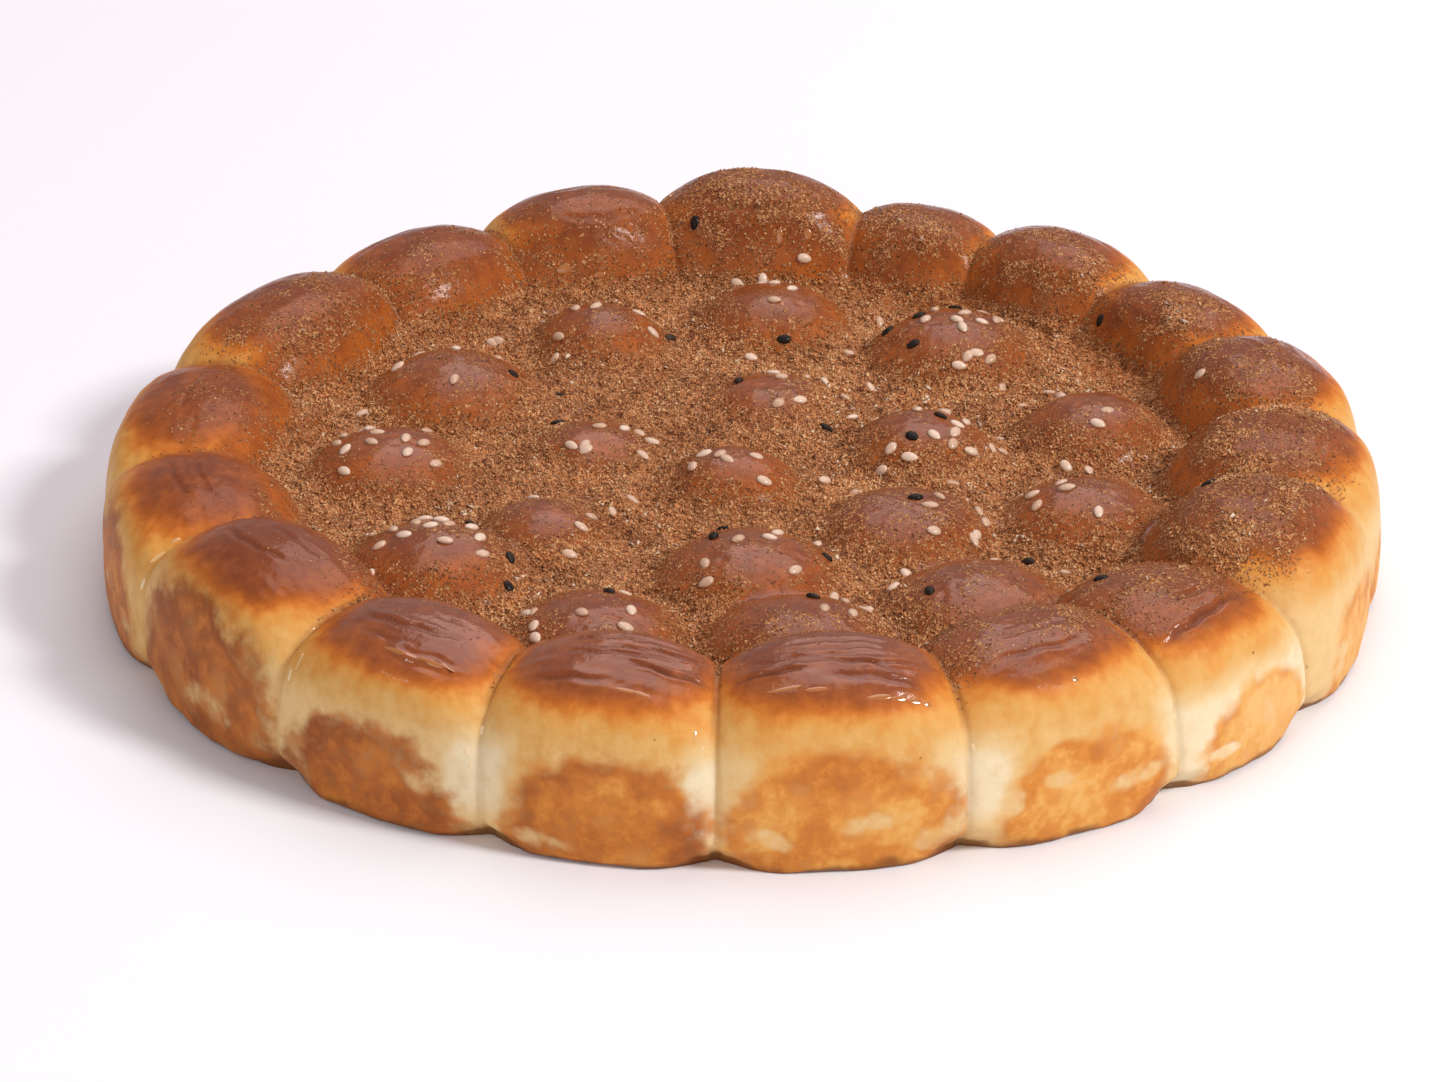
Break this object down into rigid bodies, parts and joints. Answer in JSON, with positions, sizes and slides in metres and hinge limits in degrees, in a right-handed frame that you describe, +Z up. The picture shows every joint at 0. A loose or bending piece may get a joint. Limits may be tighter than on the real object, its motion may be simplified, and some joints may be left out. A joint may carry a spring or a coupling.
{
  "type": "pull-apart bread",
  "caption": "Round pull-apart bread of soft rolls grown together in rings, with a higher rim, a low middle and sesame seeds baked on top.",
  "frame": {"origin": "middle of the loaf's flat base, on the surface that it rests on", "axes": "+Z up through the middle of the loaf, -Y towards the side that the picture was taken from, +X to that view's right"},
  "size_m": [0.2636, 0.2634, 0.0419],
  "materials": {
    "crust": "soft golden-brown baked crust with a glossy syrup glaze and ground spice on top, pale cream between the rolls",
    "pale_seed": "hulled sesame seed, cream with a soft gloss of syrup",
    "dark_seed": "black sesame seed with a soft gloss of syrup",
    "spice": "coarse ground brown spice and sugar, matte, from golden to nearly black grains"
  },
  "bodies": {
    "root": {"bread": "crust"}
  },
  "joints": []
}
